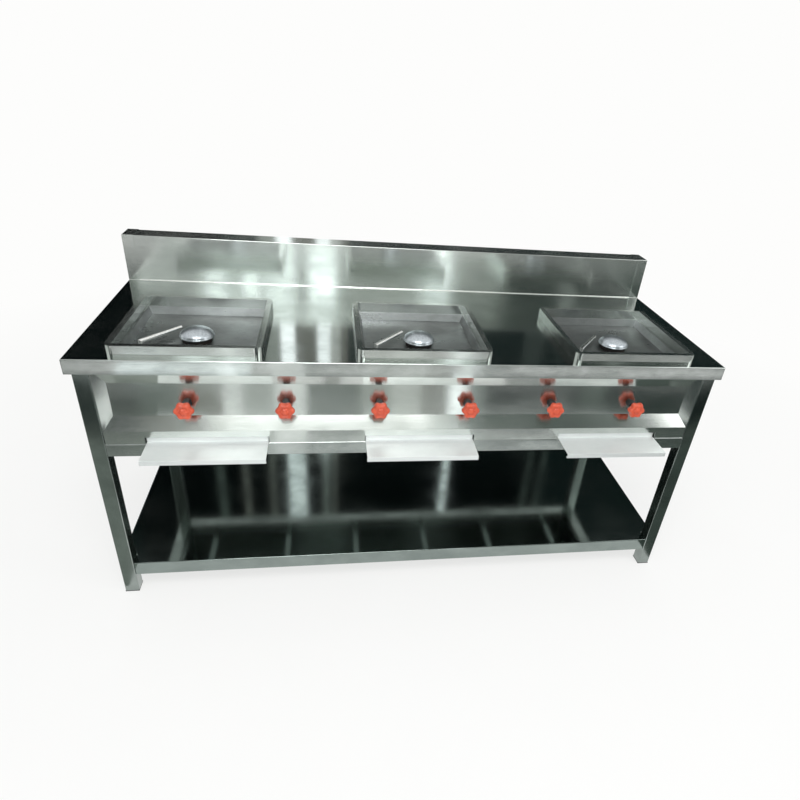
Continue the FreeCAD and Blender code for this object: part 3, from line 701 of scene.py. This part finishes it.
CARDS = {tone: card_finish(tone, code, strength) for tone, code, strength in (
    ("black", "0A1010", 1.0), ("coal", "1C2726", 1.0), ("dark", "3C4442", 1.0),
    ("slate", "5A645F", 1.0), ("grey", "7A7C76", 1.0), ("ash", "9BA29C", 1.0),
    ("pale", "C4C9C4", 1.0), ("white", "F6FAF8", 1.0), ("window", "F8FEFF", 1.6),
    ("lamp", "F8FEFF", 3.2),
)}
# What the worktop mirrors, far behind: dark, with one bright bay between two of the wells.
card_wall("worktop_wall", 8.0, (1.6, 5.35), (
    (-14, -1.9, "black"), (-1.9, -1.36, "dark"), (-1.36, -1.08, "ash"),
    (-1.08, -0.84, "window"), (-0.84, -0.46, "grey"), (-0.46, -0.24, "window"),
    (-0.24, -0.06, "pale"), (-0.06, 0.06, "grey"), (0.06, 0.3, "dark"), (0.3, 3.3, "coal"),
    (3.3, 3.7, "dark"), (3.7, 16, "coal"),
))
# What the shelf mirrors, above that: darker still, with a few narrow lights.
card_wall("shelf_wall", 8.0, (5.35, 9.0), (
    (-14, -4.0, "coal"), (-4.0, -2.40, "black"), (-2.40, -2.25, "slate"),
    (-2.25, -1.92, "black"), (-1.92, -1.80, "grey"), (-1.80, -1.42, "black"),
    (-1.42, -1.30, "grey"), (-1.30, -1.05, "black"), (-1.05, -0.72, "window"),
    (-0.72, -0.38, "black"), (-0.38, -0.28, "ash"), (-0.28, -0.20, "coal"),
    (-0.20, -0.12, "grey"), (-0.12, 2.02, "black"), (2.02, 2.15, "window"),
    (2.15, 3.85, "black"), (3.85, 3.95, "slate"), (3.95, 4.15, "black"),
    (4.15, 4.25, "slate"), (4.25, 16, "coal"),
))
# What the recessed panel mirrors, low in front: bright in the middle and dim to both sides.
# The same bars go on along the floor, before and behind, spread from the camera's place.
PANEL_BARS = (
    (-4, -1.06, "dark"), (-1.06, -0.90, "slate"), (-0.90, -0.72, "grey"),
    (-0.72, -0.64, "white"), (-0.64, -0.50, "ash"), (-0.50, -0.36, "white"),
    (-0.36, -0.12, "slate"), (-0.12, 0.02, "ash"), (0.02, 0.16, "pale"), (0.16, 0.29, "grey"),
    (0.29, 0.38, "window"), (0.38, 0.47, "slate"), (0.47, 0.95, "coal"), (0.95, 1.08, "slate"),
    (1.08, 5, "coal"),
)


def spread(bars, scale):
    """The bars, wider or narrower about the camera's place."""
    def moved(x):
        return CAMERA_PLACE[0] + (x - CAMERA_PLACE[0]) * scale

    return [(moved(left), moved(right), tone) for left, right, tone in bars]


card_wall("panel_wall", -1.2, (0.0, 0.3), PANEL_BARS)
card_floor("panel_near", (-0.93, -0.72), 0.002, spread(PANEL_BARS, 0.92))
card_floor("panel_far", (-2.9, -2.02), 0.002, spread(PANEL_BARS, 1.45))
# What the lower rail and the strip over it mirror.
card_floor("rail_floor", (-1.2, -0.93), 0.002, (
    (-4, -1.0, "grey"), (-1.0, -0.7, "pale"), (-0.7, 0.9, "white"), (0.9, 5, "ash"),
))
# What the worktop's front edge mirrors, brightest left of the middle.
card_floor("edge_floor", (-2.01, -1.74), 0.003, ((-1.35, -0.68, "window"),))
# What the slanted band over the panel mirrors, on the floor close in front.
card_floor("band_floor", (-0.62, -0.44), 0.003, (
    (-2, -0.95, "slate"), (-0.28, -0.22, "grey"), (-0.10, 0.04, "grey"), (0.46, 0.9, "slate"),
    (0.9, 3, "dark"),
))
# What the splashback and the worktop's back edge mirror, in front of the range.
card_wall("front_wall", -3.0, (0.75, 2.2), (
    (-6, -1.90, "ash"), (-1.90, -1.32, "white"), (-1.32, -1.12, "lamp"), (-1.12, -1.02, "ash"),
    (-1.02, -0.86, "lamp"), (-0.86, -0.80, "ash"), (-0.80, -0.56, "lamp"), (-0.56, -0.44, "grey"),
    (-0.44, -0.2, "lamp"), (-0.2, 0.6, "pale"), (0.6, 0.84, "lamp"), (0.84, 1.3, "pale"),
    (1.3, 1.42, "ash"), (1.42, 2.0, "dark"), (2.0, 2.08, "white"), (2.08, 7, "dark"),
))
card_wall("low_front_wall", -2.25, (0.0, 0.5), ((1.05, 1.8, "dark"), (1.8, 6, "slate")))
# What the panel's ledge mirrors, higher up in front.
card_wall("high_front_wall", -3.0, (2.2, 4.5), (
    (-6, -1.75, "dark"), (-1.75, -1.2, "grey"), (-1.2, -0.35, "pale"), (-0.35, 0.5, "ash"),
    (0.5, 0.9, "pale"), (0.9, 7, "slate"),
))
# What the legs mirror: dim floor beyond both ends.
card_floor("leg_floor", (-1.15, -0.31), 0.004, ((-2.5, -0.88, "ash"), (0.90, 3, "slate")))
# What the panel's two slanted ends mirror across the front.
for name, x, first, last, tone in (
    ("left_end_card", -0.3, -0.4, -1.6, "coal"), ("right_end_card", 0.3, -1.6, -0.4, "dark"),
):
    mirror_card(name, [(x, first, 0), (x, last, 0), (x, last, 0.8), (x, first, 0.8)], tone)


def soft_lamp(name, place, aim_at, size, watts):
    data = bpy.data.lights.new(name, "AREA")
    data.shape = "RECTANGLE"
    data.size, data.size_y = size
    data.energy = watts
    lamp = bpy.data.objects.new(name, data)
    lamp.location = place
    lamp.rotation_euler = (Vector(aim_at) - Vector(place)).to_track_quat("-Z", "Y").to_euler()
    bpy.context.scene.collection.objects.link(lamp)


def photo_camera():
    """The photograph's view: close, from the left of the middle, above the worktop."""
    data = bpy.data.cameras.new("photo_view")
    data.sensor_width = 36.0
    data.lens = 26.62
    data.shift_x = -0.0525
    data.shift_y = 0.0225
    camera = bpy.data.objects.new("photo_view", data)
    camera.location = CAMERA_PLACE
    camera.rotation_euler = [math.radians(a) for a in (59.19, -5.34, -9.37)]
    bpy.context.scene.collection.objects.link(camera)
    bpy.context.scene.camera = camera


pale_floor()
pale_world()
soft_lamp("key_front", (-0.3, -2.0, 3.3), (0, 0, 0.6), (1.8, 1.2), 50)
soft_lamp("fill_right", (2.8, -1.8, 2.4), (0, 0, 0.6), (1.4, 1.8), 20)
photo_camera()
bpy.context.scene.view_settings.view_transform = "Standard"
